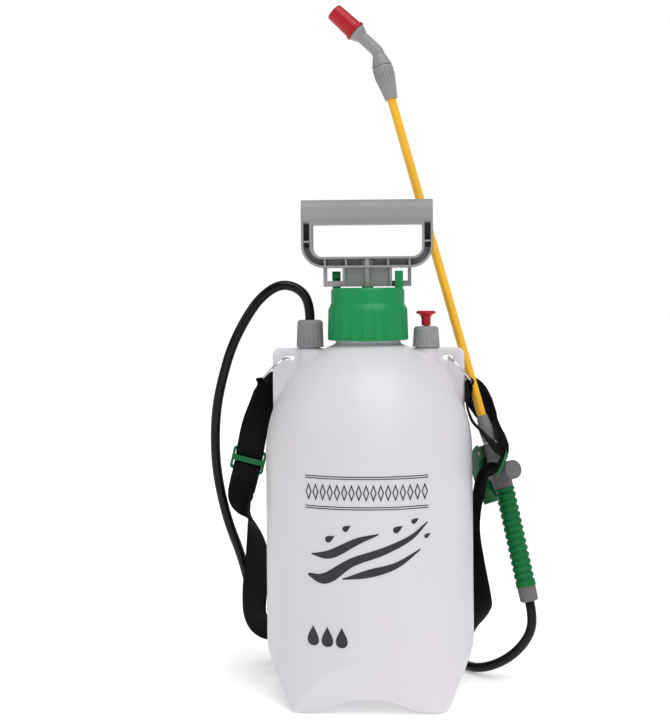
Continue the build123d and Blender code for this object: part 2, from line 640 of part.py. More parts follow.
def make_trigger():
    """Finger lever: a bowed back plate with two cheeks on the pivot pin and a rib at the valve stem."""
    with BuildPart() as lever:
        with BuildSketch(LANCE_PLANE):
            with BuildLine():
                Polyline((-14.6, -28.4), (-16, -26), (-24, -31), (-30, -42), (-31.5, -54), (-29.5, -67),
                         (-25.5, -78), (-23.3, -77), (-27.2, -66), (-29, -54), (-27.5, -43), (-22, -33.4),
                         (-15.4, -29.6), close=True)
            make_face()
        extrude(amount=8, both=True)
        for side in (-1, 1):
            with BuildSketch(LANCE_PLANE.offset(side * 7)):
                with BuildLine():
                    Polyline((-6, -28), (-12, -24.5), (-24, -31), (-30, -42), (-31.5, -54), (-29.5, -67),
                             (-25.5, -78), (-23.3, -77), (-24, -66), (-22, -52), (-14, -39), (-6, -36),
                             close=True)
                make_face()
            extrude(amount=1, both=True)
        with BuildSketch(LANCE_PLANE):
            Polygon((-30, -48), (-16.5, -50), (-16.5, -56), (-30, -62), align=None)
        extrude(amount=1.5, both=True)
        with BuildSketch(LANCE_PLANE):
            with Locations(PIVOT):
                Circle(PIN_R + RUNNING)
        extrude(amount=12, both=True, mode=Mode.SUBTRACT)
    save(lever.part, "trigger_lever")
    with BuildPart() as pin:
        with BuildSketch(LANCE_PLANE):
            with Locations(PIVOT):
                Circle(PIN_R)
        extrude(amount=8.6, both=True)
    save(pin.part, "trigger_pin")


# ---------------------------------------------------------------- strap, rings and sliders

def strap_sections(stations):
    """Section planes along a strap: centre, across the run, local x along the webbing's width."""
    centres = [Vector(*centre) for centre, width in stations]
    planes = []
    for index, (centre, width) in enumerate(stations):
        before = centres[max(index - 1, 0)]
        after = centres[min(index + 1, len(centres) - 1)]
        planes.append(cross_plane(Vector(*centre), after - before, Vector(*width)))
    return planes


def webbing(stations, thickness=STRAP_THICK):
    """A ribbon lofted through its stations."""
    with BuildPart() as ribbon:
        for plane in strap_sections(stations):
            with BuildSketch(plane):
                Rectangle(STRAP_WIDTH, thickness)
        loft(ruled=True)
    return ribbon.part


LEFT_RING = (-81.1, 0, 284.2)
RIGHT_RING = (79.8, 3, 282.6)
SLOT_HEIGHT = (SLOT_LOW + SLOT_HIGH) / 2
LEFT_SLIDER = ((-107.0, 3.2, 203.8), (0.97, 0, -0.24), (-0.2, 0.05, -0.98))
RIGHT_SLIDER = ((115.2, -17.6, 203.5), (0.15, 0.95, 0.25), (-0.42, -0.02, -0.9))

LEFT_PLY = [
    ((-89.5, 7.5, 271), (0.75, 0.62, 0)),
    ((-94.5, 8, 253), (0.85, 0.45, 0)),
    ((-102, 8, 231), (0.96, 0.1, -0.1)),
    ((-107, 7, 204), (0.97, 0, -0.24)),
    ((-108.6, 7.4, 196.5), (0.97, 0, -0.24)),
]
LOOP = [
    ((-108.9, 7.5, 195), (0.97, 0, -0.24)),
    ((-112, 9, 184), (0.97, 0.1, -0.2)),
    ((-114.5, 12, 172), (0.95, 0.3, -0.05)),
    ((-111.5, 15, 162), (0.6, 0.8, 0)),
    ((-108.5, 17, 155.5), (0.1, 0.99, 0)),
    ((-105.5, 20, 146), (-0.4, 0.9, 0)),
    ((-102.5, 24, 126), (-0.8, 0.6, 0)),
    ((-102.5, 28, 104), (-0.95, 0.3, 0)),
    ((-105.5, 33, 82), (-0.95, 0.3, 0.05)),
    ((-106, 42, 58), (-0.85, 0.45, -0.2)),
    ((-96, 60, 42), (-0.6, 0.1, -0.75)),
    ((-73, 81, 36), (-0.25, 0, -0.96)),
    ((-41, 98, 33), (-0.08, 0, -1)),
    ((0, 106, 31), (0, 0, -1)),
    ((42, 99, 33), (-0.08, 0, -1)),
    ((73, 81, 37), (-0.25, 0.1, -0.95)),
    ((91, 62, 45), (-0.45, 0.3, -0.85)),
    ((97.5, 45, 60), (-0.65, 0.6, -0.45)),
    ((97, 32, 82), (-0.67, 0.74, 0)),
    ((94.3, 22, 110), (-0.6, 0.8, 0)),
    ((93.2, 14, 140), (-0.3, 0.95, 0)),
    ((93.6, 9, 158), (-0.28, 0.95, 0)),
    ((96, 2, 176), (-0.3, 0.93, 0)),
    ((99.5, -8, 188), (-0.25, 0.93, 0.15)),
    ((104, -14.5, 195.5), (-0.1, 0.95, 0.25)),
    ((109.6, -17, 200), (0.15, 0.95, 0.25)),
]
OUTER_PLY = [
    ((90.3, 18, 264), (-0.1, 0.1, 1)),
    ((84.6, 32, 264), (-0.15, 0.05, 1)),
    ((84.6, 46, 264.5), (-0.12, 0, 1)),
    ((88, 57, 263.5), (0.2, 0.1, 0.95)),
    ((95, 61.5, 258.5), (0.6, 0, 0.75)),
    ((101.5, 57, 248.5), (0.71, -0.32, 0.6)),
    ((107, 48.5, 238.5), (0.45, -0.48, 0.72)),
    ((113, 38.5, 228.5), (0.08, -0.5, 0.85)),
    ((117, 23, 220.5), (-0.05, -0.4, 0.9)),
    ((118.6, 8, 215.5), (0, -0.28, 0.96)),
    ((119, -2.5, 213.5), (0, -0.2, 0.97)),
]
INNER_PLY = [
    ((86, 5, 267.8), (0.1, 0.97, 0.1)),
    ((85.8, 4, 257), (0.05, 1, 0)),
    ((87.4, 1.5, 246.5), (0.05, 1, 0)),
    ((91.5, -1.5, 237), (0.05, 1, 0)),
    ((99.5, -6, 228.5), (0.05, 1, 0)),
    ((107.5, -10.5, 219.5), (0.1, 1, 0.1)),
    ((112, -14.5, 211.5), (0.15, 0.95, 0.2)),
]


def make_straps():
    save(webbing(LEFT_PLY, 2 * STRAP_THICK), "strap_left_ply")
    save(webbing(LOOP), "shoulder_strap")
    save(webbing(OUTER_PLY), "strap_right_outer_ply")
    save(webbing(INNER_PLY), "strap_right_inner_ply")


def make_ring(centre, slot, across, label):
    """Round-wire ring through a lug's slot: its plane holds the line to the slot and the across direction."""
    towards_slot = (Vector(*slot) - Vector(*centre)).normalized()
    normal = towards_slot.cross(Vector(*across)).normalized()
    plane = Plane(origin=centre, x_dir=towards_slot, z_dir=towards_slot.cross(normal))
    with BuildPart() as ring:
        with BuildSketch(plane):
            with Locations((RING_R, 0)):
                Circle(RING_WIRE_R)
        revolve(axis=Axis(centre, plane.y_dir))
    save(ring.part, label)


def make_slider(place, label):
    """Flat three-bar slider lying against the webbing."""
    centre, width, run = place
    with BuildPart() as slider:
        with BuildSketch(cross_plane(Vector(*centre), Vector(*width).cross(Vector(*run)), Vector(*width))):
            RectangleRounded(30, 20, 2.5)
            with Locations((0, 5), (0, -5)):
                RectangleRounded(25.5, 5.2, 1, mode=Mode.SUBTRACT)
        extrude(amount=1.1, both=True)
    save(slider.part, label)


# ---------------------------------------------------------------- hose

HOSE_LEFT = [
    (-51, 0, 327.6), (-51, 0, 340.5), (-58.5, -0.5, 354.5), (-76, -1, 360), (-94, -1, 348.5),
    (-108, 0, 329), (-120.5, 2, 305), (-129, 6, 279), (-135.5, 10, 252), (-138, 14, 224), (-137.5, 18, 196),
    (-133.5, 23, 168), (-127.5, 30, 141), (-119, 39, 115), (-114, 50, 90), (-110, 64, 64), (-103, 81, 38),
    (-91, 103, 17), (-74, 128, 6.5), (-53, 150, 4.5), (-41, 172, 4.6),
]
HOSE_RIGHT = [
    (61, 172, 12.7), (61.2, 152, 11.4), (64, 133, 7.5), (70, 114, 4.7), (77, 95, 4.4), (83.5, 76, 4.5),
    (93, 59, 5.6), (106, 48.5, 12), (120, 38, 22.5), (133, 28.5, 37), (141.8, 18.5, 52.5),
    (142.52, 14.23, 67.28), (140.52, 15.39, 76.88),
]
COIL_CENTRE = (10, 172)
COIL_R = 51.0


def make_hose():
    cord(HOSE_LEFT, "hose_left")
    cord(HOSE_RIGHT, "hose_right")
    with BuildPart() as coil:
        with BuildSketch(Plane.XZ.offset(-COIL_CENTRE[1])):
            with Locations((COIL_CENTRE[0] + COIL_R, 2 * HOSE_R)):
                SlotOverall(4 * HOSE_R, 2 * HOSE_R, rotation=90)
        revolve(axis=Axis((COIL_CENTRE[0], COIL_CENTRE[1], 0), (0, 0, 1)))
    save(coil.part, "hose_coil")
    tie_y = COIL_CENTRE[1] + COIL_R
    with BuildPart() as tie:
        with BuildSketch(Plane.YZ.offset(COIL_CENTRE[0] - 3)):
            with Locations((tie_y, 2 * HOSE_R + 0.8)):
                RectangleRounded(2 * HOSE_R + 3.4, 4 * HOSE_R + 1.6, 3)
                RectangleRounded(2 * HOSE_R + 1.6, 4 * HOSE_R + 0.4, 2.2, mode=Mode.SUBTRACT)
        extrude(amount=6)
    save(tie.part, "hose_tie")


# ---------------------------------------------------------------- build

os.makedirs("parts", exist_ok=True)
make_tank()
make_outlet()
make_relief_valve()
make_pump_collar()
make_pump_barrel()
make_piston()
make_handle()
make_lance()
make_elbow()
make_nozzle()
make_gun_body()
make_grip()
make_valve()
make_trigger()
make_straps()
make_ring(LEFT_RING, (-69.8, 0, SLOT_HEIGHT), (0.13, 0.97, -0.12), "strap_ring_left")
make_ring(RIGHT_RING, (70.5, 0, SLOT_HEIGHT), (-0.12, 0.98, -0.08), "strap_ring_right")
make_slider(LEFT_SLIDER, "strap_slider_left")
make_slider(RIGHT_SLIDER, "strap_slider_right")
make_hose()
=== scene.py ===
"""Looks of a shoulder compression sprayer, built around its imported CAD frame.

Metres. Origin on the floor at the tank's axis, +Z up, +X towards the gun, -Y the front.
"""

import json
import math

import bmesh
import bpy
import numpy as np
from mathutils import Matrix, Vector


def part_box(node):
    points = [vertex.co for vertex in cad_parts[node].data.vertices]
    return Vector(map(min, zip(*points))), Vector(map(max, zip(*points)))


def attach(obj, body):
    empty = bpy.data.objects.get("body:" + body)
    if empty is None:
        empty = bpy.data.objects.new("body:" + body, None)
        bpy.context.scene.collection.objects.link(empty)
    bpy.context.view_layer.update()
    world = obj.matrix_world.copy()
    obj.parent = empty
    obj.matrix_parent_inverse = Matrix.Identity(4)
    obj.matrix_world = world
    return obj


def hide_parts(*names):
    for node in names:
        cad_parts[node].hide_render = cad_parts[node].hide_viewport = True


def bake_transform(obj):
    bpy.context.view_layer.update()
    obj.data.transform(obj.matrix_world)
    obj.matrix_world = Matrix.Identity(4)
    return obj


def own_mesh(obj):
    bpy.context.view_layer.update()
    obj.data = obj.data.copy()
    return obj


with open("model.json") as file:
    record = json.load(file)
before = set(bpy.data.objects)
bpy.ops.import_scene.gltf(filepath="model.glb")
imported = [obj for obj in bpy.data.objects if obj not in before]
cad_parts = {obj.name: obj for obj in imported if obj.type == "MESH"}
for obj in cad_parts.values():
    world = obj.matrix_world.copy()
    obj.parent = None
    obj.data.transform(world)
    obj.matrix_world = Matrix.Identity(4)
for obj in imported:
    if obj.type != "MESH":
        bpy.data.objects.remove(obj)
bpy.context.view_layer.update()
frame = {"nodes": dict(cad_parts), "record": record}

MM = 0.001
TANK_R = 90.5 * MM
HOSE_R = 4.25 * MM
WEBBING_WIDTH = 24 * MM
WEBBING_THICK = 1.6 * MM
AMBIENT = 0.3
SUN_STRENGTH = 2.1


# ---------------------------------------------------------------- camera, lights and floor

def make_camera():
    """Level camera in front of the tank, its frame shifted down to take in the feet."""
    data = bpy.data.cameras.new("camera")
    camera = bpy.data.objects.new("camera", data)
    bpy.context.scene.collection.objects.link(camera)
    turn = math.radians(3)
    sideways, distance, height = -0.0287, 1.25, 0.3536
    camera.location = (sideways * math.cos(turn) + distance * math.sin(turn),
                       sideways * math.sin(turn) - distance * math.cos(turn), height)
    level = Matrix.Rotation(turn, 4, "Z") @ Matrix.Rotation(math.radians(90), 4, "X")
    roll = Matrix.Rotation(math.radians(-0.475), 4, "Z")
    camera.rotation_euler = (level @ roll).to_euler()
    data.sensor_width = 36
    data.lens = 71.1
    data.shift_y = -0.0972
    bpy.context.scene.camera = camera


def area_light(name, place, target, size, power):
    """Square soft box aimed at a point."""
    data = bpy.data.lights.new(name, "AREA")
    data.size = size
    data.energy = power
    light = bpy.data.objects.new(name, data)
    bpy.context.scene.collection.objects.link(light)
    light.location = place
    light.rotation_euler = (Vector(target) - Vector(place)).to_track_quat("-Z", "Y").to_euler()


def make_world():
    """White surroundings, dimmer as a light than they look."""
    world = bpy.data.worlds.new("studio")
    world.use_nodes = True
    nodes = world.node_tree.nodes
    strength = nodes.new("ShaderNodeMapRange")
    strength.inputs["To Min"].default_value = AMBIENT
    strength.inputs["To Max"].default_value = 1.0
    looks_at = nodes.new("ShaderNodeLightPath").outputs["Is Camera Ray"]
    world.node_tree.links.new(looks_at, strength.inputs["Value"])
    world.node_tree.links.new(strength.outputs["Result"], nodes["Background"].inputs["Strength"])
    nodes["Background"].inputs["Color"].default_value = (1, 1, 1, 1)
    bpy.context.scene.world = world


def make_sun():
    """Very soft key light from above, in front and a little to the right."""
    data = bpy.data.lights.new("sun", "SUN")
    data.energy = SUN_STRENGTH
    data.angle = math.radians(50)
    sun = bpy.data.objects.new("sun", data)
    bpy.context.scene.collection.objects.link(sun)
    sun.rotation_euler = Vector((-0.22, 0.42, -1)).to_track_quat("-Z", "Y").to_euler()


def make_floor():
    mesh = bpy.data.meshes.new("floor")
    half = 6.0
    mesh.from_pydata([(-half, -half, 0), (half, -half, 0), (half, half, 0), (-half, half, 0)], [],
                     [(0, 1, 2, 3)])
    floor = bpy.data.objects.new("floor", mesh)
    bpy.context.scene.collection.objects.link(floor)
    look = Look("floor_paint")
    look.set(Roughness=0.9, **{"Base Color": (0.93, 0.93, 0.93, 1), "Specular IOR Level": 0.1,
                               "Emission Color": (1, 1, 1, 1), "Emission Strength": 0.3})
    mesh.materials.append(look.material)


def make_studio():
    """Pale floor and surroundings, a soft key light, and light boxes at the front, left and back."""
    bpy.context.scene.view_settings.view_transform = "Standard"
    make_world()
    make_sun()
    make_floor()
    area_light("front_box", (0.6, -1.5, 0.9), (0, 0, 0.3), 0.5, 2.2)
    area_light("left_box", (-1.3, -0.6, 0.9), (0, 0, 0.25), 0.5, 2.0)
    area_light("back_box", (0.3, 1.9, 1.2), (0, 0, 0.25), 1.3, 6)


# ---------------------------------------------------------------- materials

def srgb(red, green, blue):
    """Linear colour of three display values from 0 to 255."""
    shares = [value / 255 for value in (red, green, blue)]
    linear = [s / 12.92 if s <= 0.04045 else ((s + 0.055) / 1.055) ** 2.4 for s in shares]
    return (*linear, 1.0)


class Look:
    """A node material being put together."""

    def __init__(self, name):
        self.material = bpy.data.materials.new(name)
        self.material.use_nodes = True
        self.tree = self.material.node_tree
        self.shader = self.tree.nodes["Principled BSDF"]
        self.place = self.node("ShaderNodeTexCoord").outputs["Object"]

    def node(self, kind, inputs=None, **settings):
        """A new node, with its settings and its input values or links."""
        made = self.tree.nodes.new(kind)
        for setting, value in settings.items():
            setattr(made, setting, value)
        for socket, value in (inputs or {}).items():
            if isinstance(value, bpy.types.NodeSocket):
                self.tree.links.new(value, made.inputs[socket])
            else:
                made.inputs[socket].default_value = value
        return made

    def set(self, **inputs):
        """Values and links of the surface shader itself."""
        for socket, value in inputs.items():
            if isinstance(value, bpy.types.NodeSocket):
                self.tree.links.new(value, self.shader.inputs[socket])
            else:
                self.shader.inputs[socket].default_value = value

    def noise(self, scale, detail=2.0, place=None):
        """Noise from 0 to 1, with its scale in features per metre."""
        inputs = {"Vector": place or self.place, "Scale": scale, "Detail": detail}
        return self.node("ShaderNodeTexNoise", inputs).outputs["Fac"]

    def math(self, operation, first, second=0.0, third=0.0):
        inputs = {0: first, 1: second, 2: third}
        return self.node("ShaderNodeMath", inputs, operation=operation).outputs["Value"]

    def ramp(self, value, low, high, from_low=0.0, from_high=1.0):
        """The value mapped from one range to another."""
        inputs = {"Value": value, "From Min": from_low, "From Max": from_high, "To Min": low, "To Max": high}
        return self.node("ShaderNodeMapRange", inputs).outputs["Result"]

    def mix(self, share, first, second):
        """Colour between two others."""
        made = self.node("ShaderNodeMix", data_type="RGBA")
        for index, value in ((0, share), (6, first), (7, second)):
            if isinstance(value, bpy.types.NodeSocket):
                self.tree.links.new(value, made.inputs[index])
            else:
                made.inputs[index].default_value = value
        return made.outputs[2]

    def bump(self, height, distance, strength=1.0, normal=None):
        inputs = {"Height": height, "Distance": distance, "Strength": strength}
        if normal is not None:
            inputs["Normal"] = normal
        return self.node("ShaderNodeBump", inputs).outputs["Normal"]


def shade(colour, factor):
    """The colour made darker or lighter."""
    return (*[min(1.0, channel * factor) for channel in colour[:3]], 1.0)


def moulded(name, colour, roughness=0.42, grain=0.05, edge=0.5, drift=0.1, wear=0.18, coat=0.0):
    """Injection-moulded plastic: colour drift, fine grain, scuffs, and soft edges rubbed a little paler."""
    look = Look(name)
    rounded = look.node("ShaderNodeBevel", {"Radius": edge * MM}, samples=4).outputs["Normal"]
    flat = look.node("ShaderNodeNewGeometry").outputs["Normal"]
    agreement = look.node("ShaderNodeVectorMath", {0: rounded, 1: flat}, operation="DOT_PRODUCT")
    edges = look.ramp(agreement.outputs["Value"], wear, 0.0, 0.75, 0.99)
    rubbed = look.math("MULTIPLY", edges, look.noise(260, 4))
    clouds = look.mix(look.noise(28, 4), shade(colour, 1 - drift), shade(colour, 1 + drift))
    look.set(**{"Base Color": look.mix(rubbed, clouds, shade(colour, 2.2))})
    scuffs = look.ramp(look.noise(90, 6), roughness - 0.06, roughness + 0.1, 0.3, 0.7)
    look.set(Roughness=scuffs)
    look.set(Normal=look.bump(look.noise(2600, 3), grain * MM, 0.35, rounded))
    look.set(**{"Coat Weight": coat, "IOR": 1.5, "Specular IOR Level": 0.3})
    return look.material


def milky_plastic():
    """Blow-moulded natural polyethylene: cloudy, waxy, with faint flow bands and a seam at the sides."""
    look = Look("milky_polyethylene")
    axes = look.node("ShaderNodeSeparateXYZ", {"Vector": look.place}).outputs
    mapping = look.node("ShaderNodeMapping", {"Vector": look.place, "Scale": (1, 1, 0.22)})
    stretched = mapping.outputs["Vector"]
    clouds = look.mix(look.noise(26, 3, stretched), srgb(208, 205, 213), srgb(218, 216, 222))
    warm = look.mix(look.ramp(look.noise(9, 2), 0, 1, 0.35, 0.65), clouds, srgb(214, 210, 215))
    look.set(**{"Base Color": warm, "Roughness": look.ramp(look.noise(60, 5), 0.36, 0.46)})
    seam = look.ramp(look.math("ABSOLUTE", axes["Y"]), 1, 0, 0, 0.5 * MM)
    orange_peel = look.math("MULTIPLY", look.noise(420, 2), 0.16)
    bands = look.math("MULTIPLY", look.noise(70, 2, stretched), 0.6)
    height = look.math("ADD", look.math("ADD", orange_peel, bands), seam)
    look.set(Normal=look.bump(height, 0.3 * MM, 0.5))
    look.set(**{"Subsurface Weight": 0.35, "Subsurface Radius": (1.0, 0.95, 1.0), "Subsurface Scale": 6 * MM,
                "IOR": 1.5, "Specular IOR Level": 0.4})
    return look.material


def hose_vinyl():
    """Glossy black vinyl hose with faint extrusion lines and dust."""
    look = Look("hose_vinyl")
    dust = look.ramp(look.noise(120, 5), 0, 0.5, 0.45, 0.8)
    look.set(**{"Base Color": look.mix(dust, srgb(3, 3, 4), srgb(14, 14, 15))})
    look.set(Roughness=look.ramp(look.noise(220, 5), 0.2, 0.34, 0.3, 0.7))
    look.set(Normal=look.bump(look.noise(300, 2), 0.12 * MM, 0.25))
    look.set(**{"Specular IOR Level": 0.22})
    return look.material


def soft_rubber():
    look = Look("soft_rubber")
    look.set(**{"Base Color": look.mix(look.noise(150, 4), srgb(20, 20, 21), srgb(33, 33, 34))})
    look.set(Roughness=look.ramp(look.noise(300, 4), 0.55, 0.75))
    look.set(Normal=look.bump(look.noise(1800, 3), 0.04 * MM, 0.4))
    return look.material


def bright_metal(name, colour, roughness):
    """Drawn wire: fine scratches and slight tarnish."""
    look = Look(name)
    tarnish = look.ramp(look.noise(400, 5), 0, 0.6, 0.5, 0.9)
    look.set(**{"Base Color": look.mix(tarnish, colour, shade(colour, 0.6)), "Metallic": 1.0})
    look.set(Roughness=look.ramp(look.noise(900, 4), roughness, roughness + 0.15))
    look.set(Normal=look.bump(look.noise(1500, 2), 0.02 * MM, 0.3))
    return look.material


def printing_ink():
    """Matt screen ink with pinholes."""
    look = Look("printing_ink")
    look.set(**{"Base Color": look.mix(look.noise(500, 4), srgb(24, 19, 34), srgb(40, 34, 52))})
    look.set(Roughness=look.ramp(look.noise(700, 3), 0.45, 0.62))
    look.set(Normal=look.bump(look.noise(2500, 2), 0.02 * MM, 0.4))
    return look.material


def woven_webbing():
    """Black polypropylene webbing: a twill of flat yarns laid out along the strap's own two coordinates,
    with painted shade where the weave lies low.
    """
    look = Look("woven_webbing")
    coordinate = look.node("ShaderNodeUVMap", uv_map="along").outputs["UV"]
    axes = look.node("ShaderNodeSeparateXYZ", {"Vector": coordinate}).outputs
    across = look.math("MULTIPLY", axes["X"], 16 * math.pi)
    down = look.math("MULTIPLY", axes["Y"], 2 * math.pi / (2.4 * MM))
    column = look.math("FLOOR", look.math("MULTIPLY", axes["X"], 16))
    phase = look.math("MULTIPLY", column, math.pi / 2)
    warp = look.math("ABSOLUTE", look.math("SINE", across))
    float_over = look.ramp(look.math("SINE", look.math("ADD", down, phase)), 0.0, 1.0, -0.7, 0.7)
    height = look.math("MULTIPLY", warp, look.ramp(float_over, 0.35, 1.0))
    lint = look.ramp(look.noise(1400, 4), 0, 0.5, 0.55, 0.8)
    # Painted shade: the weave's colour is darker where it lies low and paler on the raised floats.
    yarn_with_painted_shade = look.mix(look.math("MULTIPLY", height, 0.8), srgb(3, 3, 4), srgb(12, 12, 13))
    look.set(**{"Base Color": look.mix(lint, yarn_with_painted_shade, srgb(24, 24, 26))})
    look.set(Roughness=look.ramp(height, 0.85, 0.6))
    look.set(Normal=look.bump(height, 0.35 * MM, 0.9))
    look.set(**{"Specular IOR Level": 0.12})
    return look.material


def stitching_thread():
    look = Look("stitching_thread")
    look.set(**{"Base Color": look.mix(look.noise(2500, 3), srgb(12, 12, 13), srgb(34, 34, 36))})
    look.set(Roughness=0.6, Normal=look.bump(look.noise(4000, 2), 0.05 * MM, 0.6))
    return look.material


GREY = srgb(146, 145, 146)
LOOKS = {
    "tank_plastic": milky_plastic(),
    "green_plastic": moulded("green_plastic", srgb(16, 140, 80), roughness=0.36),
    "grey_plastic": moulded("grey_plastic", GREY, roughness=0.45),
    "red_plastic": moulded("red_plastic", srgb(176, 22, 34), roughness=0.36),
    "yellow_plastic": moulded("yellow_plastic", srgb(244, 184, 50), roughness=0.26, grain=0.02, coat=0.1),
    "white_plastic": moulded("white_plastic", srgb(224, 224, 220), roughness=0.4),
    "black_rubber": soft_rubber(),
    "black_hose": hose_vinyl(),
    "webbing": woven_webbing(),
    "spring_steel": bright_metal("spring_steel", srgb(170, 168, 165), 0.25),
    "chromed_steel": bright_metal("chromed_steel", srgb(205, 206, 210), 0.12),
}
# Darker copies of the green and grey plastics: painted shade for the grip, trigger, sliders, gun body, valve
# cap and nuts.
SHADED_GRIP_GREEN = moulded("grip_green_painted_shade", srgb(0, 104, 50), roughness=0.4, drift=0.12)
SHADED_DEEP_GREEN = moulded("deep_green_painted_shade", srgb(2, 96, 50), roughness=0.38)
SHADED_GUN_GREY = moulded("gun_grey_painted_shade", srgb(106, 104, 104), roughness=0.45)
SHADED_NUT_GREY = moulded("nut_grey_painted_shade", srgb(128, 127, 127), roughness=0.45)
INK = printing_ink()
THREAD = stitching_thread()


def paint_nodes():
    """Every CAD node takes the look of its material slot; some take a darker copy of it instead, as painted
    shade.
    """
    # Painted shade: these nodes take a darker copy of their slot's plastic.
    own = {"grip_sleeve": SHADED_GRIP_GREEN, "trigger_lever": SHADED_DEEP_GREEN, "strap_slider_left": SHADED_DEEP_GREEN,
           "strap_slider_right": SHADED_DEEP_GREEN, "gun_body": SHADED_GUN_GREY, "valve_cap": SHADED_GUN_GREY,
           "grip_nut": SHADED_GUN_GREY, "lance_nut_lower": SHADED_NUT_GREY, "hose_nut": SHADED_NUT_GREY}
    for part in frame["record"]["subparts"]:
        node = frame["nodes"][part["node"]]
        node.data.materials.clear()
        node.data.materials.append(own.get(part["node"], LOOKS[part["material_slot"]]))


# ---------------------------------------------------------------- mesh helpers

def add_piece(name, mesh, material, body):
    """An object for a finished mesh, riding on a body."""
    piece = bpy.data.objects.new(name, mesh)
    bpy.context.scene.collection.objects.link(piece)
    mesh.materials.clear()
    mesh.materials.append(material)
    mesh.polygons.foreach_set("use_smooth", [True] * len(mesh.polygons))
    if body:
        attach(piece, body)
    return piece


def evaluated_mesh(piece):
    """The piece's mesh with its modifiers applied."""
    graph = bpy.context.evaluated_depsgraph_get()
    return bpy.data.meshes.new_from_object(piece.evaluated_get(graph))


def catmull(points, per_span):
    """A smooth line through points given as vectors."""
    ends = [2 * points[0] - points[1], *points, 2 * points[-1] - points[-2]]
    line = []
    for a, b, c, d in zip(ends, ends[1:], ends[2:], ends[3:]):
        for step in range(per_span):
            t = step / per_span
            line.append(0.5 * (2 * b + (c - a) * t + (2 * a - 5 * b + 4 * c - d) * t ** 2
                               + (3 * b - a - 3 * c + d) * t ** 3))
    line.append(points[-1])
    return line


def loft_mesh(name, rings, closed=False):
    """Quads between equal rings of points, capped at both ends unless the row of rings closes."""
    count = len(rings[0])
    mesh = bpy.data.meshes.new(name)
    faces = []
    rows = len(rings) if closed else len(rings) - 1
    for row in range(rows):
        here, there = row * count, (row + 1) % len(rings) * count
        for k in range(count):
            after = (k + 1) % count
            faces.append((here + k, here + after, there + after, there + k))
    if not closed:
        faces.append(tuple(reversed(range(count))))
        faces.append(tuple(range((len(rings) - 1) * count, len(rings) * count)))
    mesh.from_pydata([point for ring in rings for point in ring], [], faces)
    return mesh


def tube_mesh(name, line, radius, sides=10):
    """Round wire along a line of vectors, with flat ends."""
    last = len(line) - 1
    tangents = [(line[min(i + 1, last)] - line[max(i - 1, 0)]).normalized() for i in range(last + 1)]
    side = tangents[0].orthogonal().normalized()
    rings = []
    for point, tangent in zip(line, tangents):
        side = (side - tangent * side.dot(tangent)).normalized()
        other = tangent.cross(side)
        angles = [2 * math.pi * k / sides for k in range(sides)]
        rings.append([point + radius * (math.cos(a) * side + math.sin(a) * other) for a in angles])
    return loft_mesh(name, rings)


# ---------------------------------------------------------------- tank

def fade(value, low, high):
    """0 below low, 1 above high, smooth between."""
    t = np.clip((value - low) / (high - low), 0, 1)
    return t * t * (3 - 2 * t)


def smooth_where(piece, name, weights, rounds):
    """Softens the piece where the weights are above zero."""
    group = piece.vertex_groups.new(name=name)
    for index in np.nonzero(weights > 0.01)[0]:
        group.add([int(index)], float(weights[index]), "REPLACE")
    smooth = piece.modifiers.new(name, "SMOOTH")
    smooth.factor = 0.5
    smooth.iterations = rounds
    smooth.vertex_group = name


NECK_REACH = 31 * MM
TANK_VOXEL = 1.25 * MM


def make_tank():
    """The blown tank: soft corners at its feet, facets, bosses and lugs, and crisp threads."""
    tank = bpy.data.objects.new("tank_moulding", frame["nodes"]["tank"].data.copy())
    bpy.context.scene.collection.objects.link(tank)
    remesh = tank.modifiers.new("voxels", "REMESH")
    remesh.mode = "VOXEL"
    remesh.voxel_size = TANK_VOXEL
    mesh = evaluated_mesh(tank)
    tank.modifiers.clear()
    tank.data = mesh
    points = np.zeros(len(mesh.vertices) * 3)
    mesh.vertices.foreach_get("co", points)
    points = points.reshape(-1, 3)
    reach = np.hypot(points[:, 0], points[:, 1])
    height = points[:, 2]
    feet = 1 - fade(height, 16 * MM, 26 * MM)
    base = 1 - fade(height, 60 * MM, 85 * MM)
    shoulder = fade(height, 205 * MM, 240 * MM) * (1 - fade(height, 297 * MM, 304 * MM))
    lugs = fade(np.abs(points[:, 0]), 60 * MM, 66 * MM) * fade(height, 250 * MM, 262 * MM)
    outside_neck = np.where(reach > NECK_REACH, 1.0, 0.0)
    smooth_where(tank, "feet", feet, 60)
    smooth_where(tank, "base", base, 16)
    smooth_where(tank, "shoulder", shoulder * (1 - lugs), 26)
    smooth_where(tank, "lugs", lugs, 5)
    smooth_where(tank, "all", outside_neck, 2)
    final = evaluated_mesh(tank)
    bpy.data.objects.remove(tank)
    piece = add_piece("tank_moulding", final, LOOKS["tank_plastic"], "tank")
    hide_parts("tank")


# ---------------------------------------------------------------- printed graphics

def stroke(points, widths):
    """Outline of a brush stroke along points, in millimetres on the front."""
    line = catmull([Vector((x, z, 0)) for x, z in points], 10)
    broad = catmull([Vector((width, 0, 0)) for width in widths], 10)
    left, right = [], []
    for i, point in enumerate(line):
        run = (line[min(i + 1, len(line) - 1)] - line[max(i - 1, 0)]).normalized()
        side = Vector((-run.y, run.x, 0)) * broad[i].x / 2
        left.append((point + side)[:2])
        right.append((point - side)[:2])
    return left + right[::-1]


def droplet(x, z, size, lean=0.0):
    """Outline of a drop of a given height, its tip leaning by an angle in degrees."""
    outline = []
    for step in range(28):
        a = 2 * math.pi * step / 28
        across = 0.42 * math.sin(a) * math.sin(a / 2) ** 1.6
        up = 0.5 * math.cos(a)
        turn = math.radians(lean)
        outline.append((x + size * (across * math.cos(turn) - up * math.sin(turn)),
                        z + size * (across * math.sin(turn) + up * math.cos(turn))))
    return outline


def bar(x0, x1, z0, z1):
    return [(x0, z0), (x1, z0), (x1, z1), (x0, z1)]


def lozenge(x, z, half_width, half_height):
    return [(x - half_width, z), (x, z - half_height), (x + half_width, z), (x, z + half_height)]


